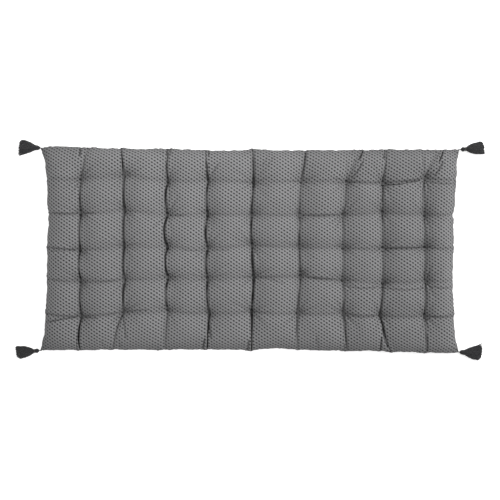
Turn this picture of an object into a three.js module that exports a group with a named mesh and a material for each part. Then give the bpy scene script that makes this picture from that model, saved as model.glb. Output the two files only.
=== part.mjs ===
// A tufted floor mattress with a yarn tassel on each corner, lying flat. Millimetres, +Z up, X along
// its length. The origin is on the floor, under the middle of the whole object.
import * as THREE from "three";
import { mergeGeometries } from "three/addons/utils/BufferGeometryUtils.js";

// The cover: two panels sewn together round the edge, measured from corner tip to corner tip
const LENGTH = 1860;
const WIDTH = 900;
const END_DRAW_IN = 34; // the short ends pull in this far between their corners
const SIDE_DRAW_IN = 8; // and the long sides this far
const END_SCALLOP = 4; // each cell of a short end swells out this far past its creases
const SIDE_SCALLOP = 2;
const EAR_SHARE = 0.67; // share of the draw-in that happens close to the corners
const EAR_POWER = 16;

// Heights: the seam plane, and how far the filling swells above and below it
const SEAM_HEIGHT = 30;
const TIP_HEIGHT = 9.5; // the unfilled corner tips hang down nearly to the floor
const TIP_DROOP_RADIUS = 75;
const CROWN_UP = 47;
const CROWN_DOWN = 44; // before the floor flattens it
const COLUMN_CREASE = 21; // halfway between two tufts of one column
const ROW_CREASE = 33; // halfway between two tufts of one row
const TUFT_HALF = 6; // the tuft threads pull the panels together to twice this
const EDGE_CROWN_SHARE = 0.84; // crown of a cell beside the seam
const PUFF_POWER = 2.4; // the higher, the flatter the top of a puff
const PUFF_ROUNDNESS = 0.75;

// The tufts: five rows of nine. A row gives its distance from the middle, and how far each of its
// tufts lies off the regular grid.
const TUFT_COLUMNS = [-747, -554, -361, -184, 12, 220, 413, 584, 773];
const TUFT_ROWS = [
  { y: -280, dx: [5, -2, 0, 7, -3, -8, 1, -8, 0], dy: [-15, 6, 15, 0, 10, 2, 3, -6, -9] },
  { y: -129, dx: [1, 2, 2, -2, 6, 6, -3, 5, 4], dy: [-11, -6, 8, 4, 14, 17, -2, -15, -5] },
  { y: 12, dx: [-3, -1, -1, -1, -2, -2, -2, 4, -1], dy: [-15, 4, 0, -2, 10, 5, 1, -3, 4] },
  { y: 160, dx: [1, 0, -2, -2, -5, -3, -3, -1, -2], dy: [1, 15, -6, -4, -5, -6, -3, 10, -2] },
  { y: 308, dx: [-1, -2, 0, 0, 4, 6, 10, 1, -2], dy: [3, 20, -6, -1, -9, -4, -5, -11, 12] },
];
// Where the crease of each column runs out to the near seam and to the far seam
const NEAR_ENDS = [-748, -606, -374, -187, 9, 214, 434, 630, 783];
const FAR_ENDS = [-716, -573, -350, -198, 9, 247, 497, 605, 840];
const CELLS_LONG = TUFT_COLUMNS.length + 1;
const CELLS_WIDE = TUFT_ROWS.length + 1;
const STEPS_LONG = 5; // facets along and across one cell
const STEPS_WIDE = 4;
const CREASE_BUNCHING = 0.6; // draws the facets together at the creases

// The tassels: a short hanging cord, and a bundle of yarn bound at its neck
const CLEARANCE = 0.3; // between pieces that touch
const CORD_RADIUS = 1.6;
const BUNDLE_SIDES = 18;
const SKIRT_CENTRE_SHARE = 0.85; // the skirt lies on the floor, pressed flat by this much
const NECK_RADIUS = 6.6;
const NECK_START = 15;
const NECK_END = 23;
const BINDING_THICKNESS = 1.8;
const BINDING_SIDES = 24;
const BUNDLE_SECTIONS = [
  { at: 0, wide: 3, high: 3 },
  { at: 2.5, wide: 7.5, high: 7 },
  { at: 8, wide: 10, high: 9 },
  { at: 12.5, wide: 9, high: 8.5 },
  { at: NECK_START, wide: NECK_RADIUS, high: NECK_RADIUS },
  { at: NECK_END, wide: NECK_RADIUS, high: NECK_RADIUS },
  { at: 29, wide: 12.5, high: 9.5 },
  { at: 42, wide: 20.5, high: 10.5 },
  { at: 60, wide: 26.5, high: 10 },
  { at: 82, wide: 29.5, high: 8.5 },
  { at: 95, wide: 29, high: 7 },
  { at: 100, wide: 24, high: 5 },
];
const SECTIONS_LENGTH = 100;
// One row for each corner: the way that the tassel points, counter-clockwise from +X, the length
// of cord that shows, the length of its yarn, and the skirt's spread against the sections above
const TASSELS = [
  { name: "far_left", end: -1, side: 1, heading: 177, cord: 4, length: 96, spread: 1.08 },
  { name: "near_left", end: -1, side: -1, heading: 186, cord: 6, length: 103, spread: 0.98 },
  { name: "far_right", end: 1, side: 1, heading: 5, cord: 8, length: 104, spread: 0.98 },
  { name: "near_right", end: 1, side: -1, heading: -3, cord: 5, length: 100, spread: 1.1 },
];

const clothMaterial = new THREE.MeshStandardMaterial({ color: 0x7b7b7d, roughness: 0.95, metalness: 0 });
const yarnMaterial = new THREE.MeshStandardMaterial({ color: 0x2b2b2d, roughness: 0.9, metalness: 0 });

// 1 at a corner tip, 0 in the middle of an edge, rising mostly close to the tip
function ear(share) {
  return (1 - EAR_SHARE) * share ** 2 + EAR_SHARE * Math.abs(share) ** EAR_POWER;
}

function endLine(y) {
  return LENGTH / 2 - END_DRAW_IN * (1 - ear(y / (WIDTH / 2)));
}

function sideLine(x) {
  return WIDTH / 2 - SIDE_DRAW_IN * (1 - ear(x / (LENGTH / 2)));
}

// The cross-section of a puff: 0 at its creases, 1 in its middle
function puff(t) {
  return (1 - Math.abs(2 * t - 1) ** PUFF_POWER) ** PUFF_ROUNDNESS;
}

function isOnEnd(column) {
  return column === 0 || column === CELLS_LONG;
}

function isOnSide(row) {
  return row === 0 || row === CELLS_WIDE;
}

// A corner of the cells, which is a tuft or a point of the seam: its place, and its swell from the
// seam plane
function cellCorner(column, row) {
  const endSign = column === 0 ? -1 : 1;
  const sideSign = row === 0 ? -1 : 1;
  if (isOnEnd(column) && isOnSide(row)) {
    return { x: endSign * (LENGTH / 2), y: sideSign * (WIDTH / 2), swell: 0 };
  }
  if (isOnEnd(column)) {
    const y = TUFT_ROWS[row - 1].y;
    return { x: endSign * endLine(y), y, swell: 0 };
  }
  if (isOnSide(row)) {
    const x = (row === 0 ? NEAR_ENDS : FAR_ENDS)[column - 1];
    return { x, y: sideSign * sideLine(x), swell: 0 };
  }
  const tufts = TUFT_ROWS[row - 1];
  return {
    x: TUFT_COLUMNS[column - 1] + tufts.dx[column - 1],
    y: tufts.y + tufts.dy[column - 1],
    swell: TUFT_HALF,
  };
}

function between(a, b, t) {
  return {
    x: THREE.MathUtils.lerp(a.x, b.x, t),
    y: THREE.MathUtils.lerp(a.y, b.y, t),
    swell: THREE.MathUtils.lerp(a.swell, b.swell, t),
  };
}

// The crease or seam along a column line, t of the way from one row to the next
function columnLine(column, row, t) {
  const point = between(cellCorner(column, row), cellCorner(column, row + 1), t);
  if (isOnEnd(column)) {
    const swellOut = END_SCALLOP * Math.sin(Math.PI * t);
    return { ...point, x: Math.sign(point.x) * (endLine(point.y) + swellOut) };
  }
  return { ...point, swell: point.swell + (COLUMN_CREASE - TUFT_HALF) * puff(t) };
}

// The same along a row line
function rowLine(column, row, t) {
  const point = between(cellCorner(column, row), cellCorner(column + 1, row), t);
  if (isOnSide(row)) {
    const swellOut = SIDE_SCALLOP * Math.sin(Math.PI * t);
    return { ...point, y: Math.sign(point.y) * (sideLine(point.x) + swellOut) };
  }
  return { ...point, swell: point.swell + (ROW_CREASE - TUFT_HALF) * puff(t) };
}

// A point of one cell, from its four creases (a Coons patch), with its crown added
function cellPoint(column, row, across, up, crown) {
  const left = columnLine(column, row, up);
  const right = columnLine(column + 1, row, up);
  const near = rowLine(column, row, across);
  const far = rowLine(column, row + 1, across);
  const corners = between(
    between(cellCorner(column, row), cellCorner(column + 1, row), across),
    between(cellCorner(column, row + 1), cellCorner(column + 1, row + 1), across),
    up,
  );
  const blend = (key) =>
    THREE.MathUtils.lerp(left[key], right[key], across) +
    THREE.MathUtils.lerp(near[key], far[key], up) -
    corners[key];
  const besideEnd = column === 0 || column === CELLS_LONG - 1;
  const besideSide = row === 0 || row === CELLS_WIDE - 1;
  const share = (besideEnd ? EDGE_CROWN_SHARE : 1) * (besideSide ? EDGE_CROWN_SHARE : 1);
  const rise = Math.max(0, crown * share - blend("swell")) * puff(across) * puff(up);
  return { x: blend("x"), y: blend("y"), swell: blend("swell") + rise };
}

// The height of the seam plane: level, but drooping at the four corner tips
function seamPlane(x, y) {
  const fromTip = Math.hypot(LENGTH / 2 - Math.abs(x), WIDTH / 2 - Math.abs(y));
  return SEAM_HEIGHT - (SEAM_HEIGHT - TIP_HEIGHT) * Math.exp(-((fromTip / TIP_DROOP_RADIUS) ** 2));
}

function bunched(t) {
  return t - (CREASE_BUNCHING * Math.sin(2 * Math.PI * t)) / (2 * Math.PI);
}

// The cell that a panel's vertex belongs to, and how far through it the vertex lies
function inCell(share, cells, steps) {
  const step = Math.round(share * cells * steps);
  const cell = Math.min(Math.floor(step / steps), cells - 1);
  return { cell, t: bunched(step / steps - cell) };
}

// One panel of the cover. Side is 1 for the upper panel and -1 for the lower one, which the floor
// presses flat. The lower panel runs the other way along X, so that its faces point down.
function panel(side) {
  const geometry = new THREE.PlaneGeometry(1, 1, CELLS_LONG * STEPS_LONG, CELLS_WIDE * STEPS_WIDE);
  const points = geometry.attributes.position;
  for (let i = 0; i < points.count; i++) {
    const long = inCell(0.5 + side * points.getX(i), CELLS_LONG, STEPS_LONG);
    const wide = inCell(0.5 + points.getY(i), CELLS_WIDE, STEPS_WIDE);
    const crown = side > 0 ? CROWN_UP : CROWN_DOWN;
    const { x, y, swell } = cellPoint(long.cell, wide.cell, long.t, wide.t, crown);
    points.setXYZ(i, x, y, Math.max(0, seamPlane(x, y) + side * swell));
  }
  return geometry;
}

// How far along a yarn of this length a section lies: only the skirt, past the neck, is longer or shorter
function placeAlong(at, length) {
  if (at <= NECK_END) return at;
  return NECK_END + ((at - NECK_END) * (length - NECK_END)) / (SECTIONS_LENGTH - NECK_END);
}

// A closed body along +X through a table of sections, standing on the floor and flattened by it
function bundle(sections, length, spread) {
  const last = sections.length - 1;
  const axisHeight = TIP_HEIGHT - CLEARANCE;
  const geometry = new THREE.CylinderGeometry(1, 1, 1, BUNDLE_SIDES, last);
  const points = geometry.attributes.position;
  for (let i = 0; i < points.count; i++) {
    const section = sections[Math.round((0.5 - points.getY(i)) * last)];
    const isSkirt = section.at > NECK_END;
    const wide = section.wide * (isSkirt ? spread : 1);
    const centre = isSkirt ? section.high * SKIRT_CENTRE_SHARE : axisHeight;
    const height = centre + section.high * points.getZ(i);
    points.setXYZ(i, placeAlong(section.at, length), wide * points.getX(i), Math.max(0, height));
  }
  return geometry;
}

// The thread wound round the neck: a closed ring with rounded outer edges
function binding() {
  const inner = (NECK_RADIUS + CLEARANCE) / Math.cos(Math.PI / BINDING_SIDES);
  const outer = inner + BINDING_THICKNESS;
  const start = NECK_START + CLEARANCE;
  const end = NECK_END - CLEARANCE;
  const corner = BINDING_THICKNESS / 2;
  const profile = [
    [inner, start],
    [outer - corner, start],
    [outer, start + corner],
    [outer, end - corner],
    [outer - corner, end],
    [inner, end],
    [inner, start],
  ];
  const geometry = new THREE.LatheGeometry(
    profile.map(([radius, along]) => new THREE.Vector2(radius, along)),
    BINDING_SIDES,
  );
  return geometry.rotateZ(-Math.PI / 2);
}

function cord(length) {
  const geometry = new THREE.CylinderGeometry(CORD_RADIUS, CORD_RADIUS, length - 2 * CLEARANCE, 8);
  return geometry.rotateZ(-Math.PI / 2).translate(length / 2, 0, 0);
}

function namedMesh(name, geometry, material) {
  const mesh = new THREE.Mesh(geometry, material);
  mesh.name = name;
  return mesh;
}

function tassel({ name, end, side, heading, cord: cordLength, length, spread }) {
  const group = new THREE.Group();
  group.position.set((end * LENGTH) / 2, (side * WIDTH) / 2, 0);
  group.rotation.z = THREE.MathUtils.degToRad(heading);
  const hanger = namedMesh(`tassel_cord_${name}`, cord(cordLength), yarnMaterial);
  hanger.position.z = TIP_HEIGHT;
  const yarn = namedMesh(`tassel_yarn_${name}`, bundle(BUNDLE_SECTIONS, length, spread), yarnMaterial);
  yarn.position.x = cordLength;
  const wrap = namedMesh(`tassel_binding_${name}`, binding(), yarnMaterial);
  wrap.position.set(cordLength, 0, TIP_HEIGHT - CLEARANCE);
  group.add(hanger, yarn, wrap);
  return group;
}

const mattress = new THREE.Group();
const cover = mergeGeometries([panel(1), panel(-1)]);
mattress.add(namedMesh("mattress", cover, clothMaterial));
mattress.add(...TASSELS.map(tassel));

// The tassels reach out unevenly, so the whole is moved to stand centred on the origin
mattress.updateMatrixWorld(true);
const middle = new THREE.Box3().setFromObject(mattress, true).getCenter(new THREE.Vector3());
mattress.position.set(-middle.x, -middle.y, 0);

export default mattress;
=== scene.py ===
import math
import random

import bmesh
import bpy
import numpy as np
from mathutils import Euler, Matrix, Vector, noise


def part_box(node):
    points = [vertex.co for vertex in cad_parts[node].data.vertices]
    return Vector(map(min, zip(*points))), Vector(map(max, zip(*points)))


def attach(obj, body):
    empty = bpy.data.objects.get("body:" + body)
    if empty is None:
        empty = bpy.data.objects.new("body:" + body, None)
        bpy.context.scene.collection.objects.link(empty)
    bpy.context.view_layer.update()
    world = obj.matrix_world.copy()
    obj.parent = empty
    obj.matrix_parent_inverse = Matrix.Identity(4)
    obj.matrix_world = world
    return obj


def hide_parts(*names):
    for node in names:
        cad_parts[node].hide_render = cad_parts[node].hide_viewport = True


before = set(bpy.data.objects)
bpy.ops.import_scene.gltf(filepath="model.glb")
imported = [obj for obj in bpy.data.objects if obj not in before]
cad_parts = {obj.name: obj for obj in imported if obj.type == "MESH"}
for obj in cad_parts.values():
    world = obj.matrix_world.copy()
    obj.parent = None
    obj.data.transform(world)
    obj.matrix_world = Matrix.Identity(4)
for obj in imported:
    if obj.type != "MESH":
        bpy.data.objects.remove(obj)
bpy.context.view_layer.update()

bl_info = {
    "name": "Tufted floor mattress",
    "version": (1, 0, 0),
    "blender": (4, 5, 0),
    "location": "3D View > Sidebar > Mattress",
    "description": "Sews, fills and tufts a patterned floor mattress with a tassel on each corner",
    "category": "Add Mesh",
}

MM = 0.001
# A whole turn of a wave, near enough, and the range in which a wave may start
WHOLE_TURN = 6.3
ANY_START = (0, WHOLE_TURN)

# The solid of the mattress gives the cover's length, width and middle
LOW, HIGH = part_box("mattress")
MIDDLE = (LOW + HIGH) / 2
LENGTH = HIGH.x - LOW.x
WIDTH = HIGH.y - LOW.y

# The tufts: five rows of nine, in mm. A row gives its distance from the middle, and how far each of
# its tufts lies off the regular grid.
TUFT_COLUMNS = (-747, -554, -361, -184, 12, 220, 413, 584, 773)
TUFT_ROWS = (
    {"y": -280, "dx": (5, -2, 0, 7, -3, -8, 1, -8, 0), "dy": (-15, 6, 15, 0, 10, 2, 3, -6, -9)},
    {"y": -129, "dx": (1, 2, 2, -2, 6, 6, -3, 5, 4), "dy": (-11, -6, 8, 4, 14, 17, -2, -15, -5)},
    {"y": 12, "dx": (-3, -1, -1, -1, -2, -2, -2, 4, -1), "dy": (-15, 4, 0, -2, 10, 5, 1, -3, 4)},
    {"y": 160, "dx": (1, 0, -2, -2, -5, -3, -3, -1, -2), "dy": (1, 15, -6, -4, -5, -6, -3, 10, -2)},
    {"y": 308, "dx": (-1, -2, 0, 0, 4, 6, 10, 1, -2), "dy": (3, 20, -6, -1, -9, -4, -5, -11, 12)},
)
CELLS_LONG = len(TUFT_COLUMNS) + 1
CELLS_WIDE = len(TUFT_ROWS) + 1

# Where the crease of each column runs out to the near seam and to the far seam, in mm
NEAR_ENDS = (-748, -606, -374, -187, 9, 214, 434, 630, 783)
FAR_ENDS = (-716, -573, -350, -198, 9, 247, 497, 605, 840)

# How deep each crease runs, from 0 to 1: a row for each column of tufts, with its stretches from the
# near edge to the far edge
COLUMN_CREASES = (
    (1.0, 0.9, 0.8, 1.0, 1.0, 0.6),
    (0.6, 0.9, 1.0, 1.0, 1.0, 1.0),
    (0.5, 0.9, 1.0, 1.0, 1.0, 0.9),
    (1.0, 0.9, 0.9, 1.0, 0.9, 1.0),
    (1.0, 1.0, 1.0, 1.0, 1.0, 1.0),
    (0.6, 0.8, 0.8, 0.8, 0.5, 0.8),
    (0.7, 0.7, 0.5, 0.4, 0.4, 0.4),
    (1.0, 0.8, 0.4, 0.4, 0.7, 0.8),
    (0.65, 0.55, 0.25, 0.25, 0.45, 0.4),
)
# The sideways bow of the same stretches, in mm
COLUMN_BOWS = (
    (-8, -7, -9, -7, -5, 3),
    (-16, -4, -6, -4, -3, -2),
    (-2, -13, -14, -18, -12, -15),
    (-2, -10, -11, -11, -9, -6),
    (2, 1, -3, -3, -1, 1),
    (-8, -4, -3, 0, -6, 0),
    (-2, 2, 0, 0, 2, 0),
    (-4, -1, -3, -4, -2, -2),
    (-2, 1, -2, -2, -14, -6),
)
# The creases along the rows all bow a little to the near side
ROW_BOW = 7 * MM
# How deep the creases along the rows of tufts run, from the left end to the right one
ROW_CREASES = (
    (0.6, 0.6, 0.3, 0.5, 0.3, 0.3, 0.2, 0.5, 0.4, 0.4),
    (0.5, 0.6, 0.3, 0.3, 0.2, 0.5, 0.5, 0.2, 0.3, 0.3),
    (0.6, 0.3, 0.2, 0.3, 0.3, 0.3, 0.3, 0.5, 0.6, 0.4),
    (0.3, 0.3, 0.2, 0.2, 0.2, 0.3, 0.5, 0.3, 0.3, 0.4),
    (0.3, 0.3, 0.3, 0.3, 0.3, 0.3, 0.4, 0.5, 0.8, 0.5),
)

# The smaller pleats of the upper panel, most of them off those lines: the depth of each, from 0 to 1,
# and its route, in mm. One that runs out at the seam starts a little outside it.
PLEATS = (
    (0.9, ((-751, 465), (-752, 405))),
    (1.0, ((-368, 465), (-367, 408))),
    (0.9, ((-183, 465), (-185, 408))),
    (0.4, ((-136, 386), (-174, 328))),
    (0.3, ((93, 440), (50, 366))),
    (0.3, ((110, 421), (68, 358))),
    (1.0, ((510, 465), (478, 398))),
    (0.6, ((500, 400), (468, 344), (444, 318))),
    (0.3, ((428, 397), (424, 318))),
    (0.9, ((600, 465), (590, 398))),
    (1.0, ((866, 465), (831, 388))),
    (0.6, ((853, 400), (834, 362), (806, 324))),
    (0.35, ((761, 432), (762, 368))),
    (0.5, ((-761, -382), (-765, -465))),
    (0.5, ((-560, -286), (-551, -341), (-545, -396))),
    (0.35, ((-656, -393), (-638, -465))),
    (0.35, ((-577, -405), (-569, -465))),
    (0.6, ((-179, -328), (-170, -398))),
    (0.9, ((-197, -386), (-210, -465))),
    (0.7, ((-3, -392), (-10, -465))),
    (0.4, ((291, -371), (308, -465))),
    (0.6, ((416, -405), (424, -465))),
    (0.8, ((586, -338), (599, -400), (614, -432))),
    (0.9, ((582, -378), (578, -465))),
    (0.5, ((782, -368), (789, -465))),
    (0.7, ((-898, -324), (-818, -306), (-752, -297))),
    (0.6, ((-743, -297), (-665, -303))),
    (0.4, ((-548, -271), (-432, -266))),
    (0.4, ((12, -122), (90, -128), (156, -149))),
    (0.4, ((238, -119), (364, -129))),
    (0.9, ((584, 291), (653, 293), (752, 312))),
    (0.4, ((584, 3), (665, 11), (764, 13))),
    (0.4, ((-884, -10), (-752, -3))),
    (0.45, ((412, -158), (488, -167), (563, -162))),
    (0.4, ((590, -166), (680, -174), (766, -165))),
    (0.45, ((786, -158), (838, -166), (890, -163))),
    (0.45, ((416, -288), (490, -295), (563, -289))),
    (0.45, ((784, -290), (840, -295), (899, -291))),
    (0.25, ((310, 308), (399, 311))),
    (0.4, ((432, 300), (505, 292), (576, 296))),
    (0.4, ((783, 302), (850, 293), (908, 297))),
    (0.25, ((310, 156), (399, 154))),
    (0.45, ((-882, 161), (-820, 155), (-757, 158))),
    (0.5, ((-744, 160), (-682, 158))),
    (0.4, ((-363, 154), (-320, 149), (-284, 150))),
    (0.35, ((-837, 301), (-800, 302), (-760, 310))),
    (0.4, ((-310, 1), (-250, -4), (-192, 0))),
    (0.4, ((-180, 0), (-89, -2))),
    (0.35, ((230, 154), (300, 148), (354, 151))),
    (0.5, ((-350, 465), (-353, 412))),
)

# How far each side and end of the seam pulls in from the line between its corner tips, in mm, and at
# which distance along it from the middle
SEAM_COURSES = {
    "far": {
        "along": (-930, -885, -790, -700, -500, -350, -150, 50, 200, 500, 800, 930),
        "pulled": (0, -9, -10, -5, 1, -3, 7, -1, 4, -3, -5, 0),
    },
    "near": {
        "along": (-930, -860, -440, -180, -20, 130, 330, 520, 700, 860, 930),
        "pulled": (0, 1, -1, 5, 0, 9, -1, 2, -5, -8, 0),
    },
    "left": {
        "along": (-450, -425, -380, -260, -200, 40, 155, 220, 275, 330, 392, 428, 450),
        "pulled": (0, 10, 20, 26, 30, 32, 38, 29, 31, 26, 19, 9, -3),
    },
    "right": {
        "along": (-450, -425, -400, -340, -220, -120, 0, 140, 160, 172, 230, 330, 392, 428, 450),
        "pulled": (-2, 8, 18, 21, 26, 31, 26, 26, 33, 24, 19, 15, 14, 8, 0),
    },
}
# How far the seam swells outwards between two creases, on the ends and on the sides
END_SCALLOP = 4 * MM
SIDE_SCALLOP = 2 * MM
# The waver of a hand-sewn edge: how far it goes to each side, and its waves, each with its length for
# one radian and its start
SEAM_WAVER = 3.6 * MM
SEAM_WAVES = ((6.5 * MM, 0), (11 * MM, 1.3), (23 * MM, 0.4))
# It fades out this near to a corner tip, and the seam droops to the tip within this radius
TIP_REACH = 40 * MM
TIP_DROOP_RADIUS = 75 * MM
# The corner tips are held by their cords as far as this share of a cell from the corner
TIP_CELLS = 0.3

# How fast a puff rises from its creases and how flat its middle is, and how fast a crease rises from a
# tuft: powers
PUFF_MIDDLE = 2.4
PUFF_RISE = 0.75
SAG_RISE = 0.85
# A crease of no depth swells this much higher than a puff, so that it leaves no valley
NO_COLUMN_CREASE = 1.2
NO_ROW_CREASE = 1.25

# The cloth's mesh is drawn together at the creases by these shares
BUNCHING_LONG = 0.7
BUNCHING_WIDE = 0.45
# Half the gap between the two flat panels, and where the flat cloth lies between the uneven tufts, at 0,
# and the even grid, at 1
FLAT_GAP = 3 * MM
EVEN_SHARE = 0.35

# How firmly the cover is held while it is filled, from 0 to 1: at the end of a crease in the seam, in
# the rest of the seam, at the corner tips, and along a crease of no depth
SEAM_END_HOLD = 0.85
SEAM_HOLD = 0.75
TIP_HOLD = 0.97
CREASE_HOLD = 0.2

# Half the width of a crease, and its low lips: how much wider and how high they are
CREASE_SPREAD = 3.2 * MM
LIP_WIDER = 3
LIP_HEIGHT = 0.22
# The press along a line of tufts goes with this power of the crease's depth, times a share for the
# columns and one for the rows
LINE_POWER = 1.6
COLUMN_PRESS = 1.2
ROW_PRESS = 1.0
# Half the width of the dark line of shade painted in a crease, and of the softer painted shade along its
# valley, with the painted shade in a crease of no depth and how much a full one adds
PAINTED_LINE_SPREAD = 2.2 * MM
VALLEY_SPREAD = 7 * MM
VALLEY_SHADE = 0.13
VALLEY_DEEPER = 0.22
# The shade painted in the seam itself, and the shade painted beside it, with its half width
SEAM_SHADE = 0.35
EDGE_SHADE = 0.38
EDGE_SPREAD = 20 * MM
# The mesh is finer this near to a pleat, and a pleat fades out this near to its ends
PLEAT_REACH = 12 * MM
PLEAT_FADE = 16 * MM
# The presses vary along the creases: their mean, how much, and the size of the patches
PATCH_MEAN = 0.85
PATCH_SHARE = 0.6
PATCH_SIZE = 45 * MM
# A tuft's fan: the pleats in it, their strength and how much it varies round the tuft, how far the fan
# reaches, its press and the shade painted along it
FAN_SEED = 7
FAN_FOLDS = (11, 13, 14, 16)
FAN_STRENGTH = 0.7
FAN_VARIES = 0.5
FAN_REACH = (15 * MM, 22 * MM)
FAN_PRESS = 0.25
FAN_SHADE = 0.42
# The dent of a tuft and the shade painted round it and under its stitches, each with half its width
TUFT_DENT = (0.4, 16 * MM)
TUFT_SHADE = (0.3, 15 * MM)
STITCH_SHADE = (0.4, 4 * MM)
# The creases never press the two panels nearer together than twice this, they press in fully where a
# panel rises this far from the seam, and the lower panel has this share of them
PANEL_GAP = 1.5 * MM
FREE_RISE = 8 * MM
LOWER_SHARE = 0.6

# The lumps of a loose filling: how high they are, and the sizes of the big and the small ones
LUMP_HEIGHT = 2.6 * MM
LUMP_SIZE = 90 * MM
SMALL_LUMP_SIZE = 40 * MM
# The puckers of the seam: how far they go in and out, their size, and the share of the half length or
# half width at which the seam starts
PUCKER_DEPTH = 3 * MM
PUCKER_SIZE = 9 * MM
SEAM_START = 0.93
# A vertex whose side is smaller than this lies in the seam: the upper panel's side is 1, the lower one's -1
IN_SEAM = 0.1
# Where the cover meets the floor: how soft its bend is, and how far it is let down
FLOOR_BEND = 3 * MM
FLOOR_SINK = 0.2 * MM

# A tassel's sections at distances along it, in mm: half its width and half its height
BUNDLE = {
    "at": (0, 2.5, 8, 12.5, 15, 23, 29, 42, 60, 82, 95, 100),
    "wide": (3, 7.5, 10, 9, 6.6, 6.6, 12.5, 20.5, 26.5, 29.5, 29, 27),
    "high": (3, 7, 9, 8.5, 6.6, 6.6, 9.5, 10.5, 10, 8.5, 7, 5),
}
SECTIONS_LENGTH = BUNDLE["at"][-1] * MM
# The bound neck, and the height of the corner tips, from which the cords run level
NECK_START = 15 * MM
NECK_END = 23 * MM
NECK_RADIUS = 6.9 * MM
TIP_HEIGHT = 9.5 * MM
# The middle of a skirt lies this share of its half height above the floor
SKIRT_CENTRE_SHARE = 0.85
# A row for each corner: the way its tassel points, counter-clockwise from +X, the cord that shows and
# the length of its yarn, in mm, and the skirt's spread against the sections above. The head is the
# share of the full head's width, and loose is how far the strands stand over the neck, in mm. The skirt
# is cut shorter by some mm towards one side of it, and may have wisps.
TASSELS = (
    {
        "name": "far_left", "end": -1, "side": 1, "heading": 177, "cord": 4, "length": 96, "spread": 1.08,
        "head": 0.7, "loose": 5.5, "short_side": -1, "short": 12, "wisp": 15,
    },
    {
        "name": "near_left", "end": -1, "side": -1, "heading": 186, "cord": 6, "length": 103, "spread": 0.98,
        "head": 0.95, "loose": 0.5, "short_side": 1, "short": 13, "wisp": 0,
    },
    {
        "name": "far_right", "end": 1, "side": 1, "heading": 5, "cord": 8, "length": 104, "spread": 0.98,
        "head": 1.0, "loose": 0, "short_side": 1, "short": 10, "wisp": 0,
    },
    {
        "name": "near_right", "end": 1, "side": -1, "heading": -3, "cord": 5, "length": 100, "spread": 1.1,
        "head": 0.7, "loose": 5.5, "short_side": -1, "short": 15, "wisp": 17,
    },
)


def length_of(name, description, default):
    """A length, given in mm."""
    return bpy.props.FloatProperty(name=name, description=description, default=default * MM, unit="LENGTH")


def number_of(name, description, default):
    return bpy.props.FloatProperty(name=name, description=description, default=default)


def count_of(name, description, default):
    return bpy.props.IntProperty(name=name, description=description, default=default)


def power_of(name, description, default):
    return bpy.props.FloatProperty(name=name, description=description, default=default, unit="POWER")


def colour_of(name, description, default):
    return bpy.props.FloatVectorProperty(
        name=name, description=description, subtype="COLOR", default=default, min=0, max=1
    )


class CoverSizes(bpy.types.PropertyGroup):
    """How the cover is cut, filled and drawn together."""

    seam_height: length_of("Seam height", "The edge seam above the floor", 30)
    tip_height: length_of("Tip height", "The unfilled corner tips above the floor", TIP_HEIGHT / MM)
    crown: length_of("Crown", "Swell of a puff from the seam plane, before it is filled", 38)
    tuft_half: length_of("Tuft", "Half the thickness at a tuft", 5)
    column_crease: length_of("Column crease", "Swell at a full crease from tuft to tuft across the width", 26)
    row_crease: length_of("Row crease", "Swell at a full crease from tuft to tuft along the length", 24)
    slack_long: number_of("Slack along", "Share of extra cloth cut along the length", 0.055)
    slack_wide: number_of("Slack across", "Share of extra cloth cut across the width", 0.04)
    press: length_of("Press", "Depth to which a full crease is pressed in", 11)
    steps_long: count_of("Steps along", "Mesh steps along one cell before smoothing", 16)
    steps_wide: count_of("Steps across", "Mesh steps across one cell before smoothing", 11)


class FillingForces(bpy.types.PropertyGroup):
    """How the cloth and its filling behave while the cover is blown up."""

    pressure: number_of("Filling", "Pressure of the filling on the cloth", 300.0)
    mass: number_of("Cloth mass", "Mass of each point of the cloth", 0.1)
    tension: number_of("Tension", "Stiffness of the threads against stretching", 60.0)
    compression: number_of("Compression", "Stiffness of the threads against gathering", 1.0)
    shear: number_of("Shear", "Stiffness against skewing", 5.0)
    bending: number_of("Bending", "Stiffness against folding", 0.5)
    pin: number_of("Tuft hold", "Stiffness of the tufting threads", 4.0)
    frames: count_of("Frames", "Steps until the cover has settled", 26)
    draw_frames: count_of("Drawing frames", "Steps in which the tufts are drawn together", 12)


def mix(a, b, t):
    return a + (b - a) * t


def seam_line(side, along):
    """How far out a side or end of the seam lies from the middle, in metres."""
    course = SEAM_COURSES[side]
    half = (LENGTH if side in ("near", "far") else WIDTH) / 2
    out = (WIDTH if side in ("near", "far") else LENGTH) / 2
    taper = min(1.0, (half - abs(along)) / TIP_REACH)
    return out - np.interp(along / MM, course["along"], course["pulled"]) * MM + waver(along) * taper


def waver(place):
    """The unevenness of a hand-sewn edge, in metres."""
    waves = (math.sin(place / reach + start) for reach, start in SEAM_WAVES)
    return SEAM_WAVER * sum(waves) / len(SEAM_WAVES)


def puff(t):
    """The section of a puff: 0 at its creases and 1 in its middle."""
    return (1 - abs(2 * t - 1) ** PUFF_MIDDLE) ** PUFF_RISE


def sag(t):
    """The rise of a crease from a tuft to the next one, slower than a puff's."""
    return math.sin(math.pi * t) ** SAG_RISE


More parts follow.
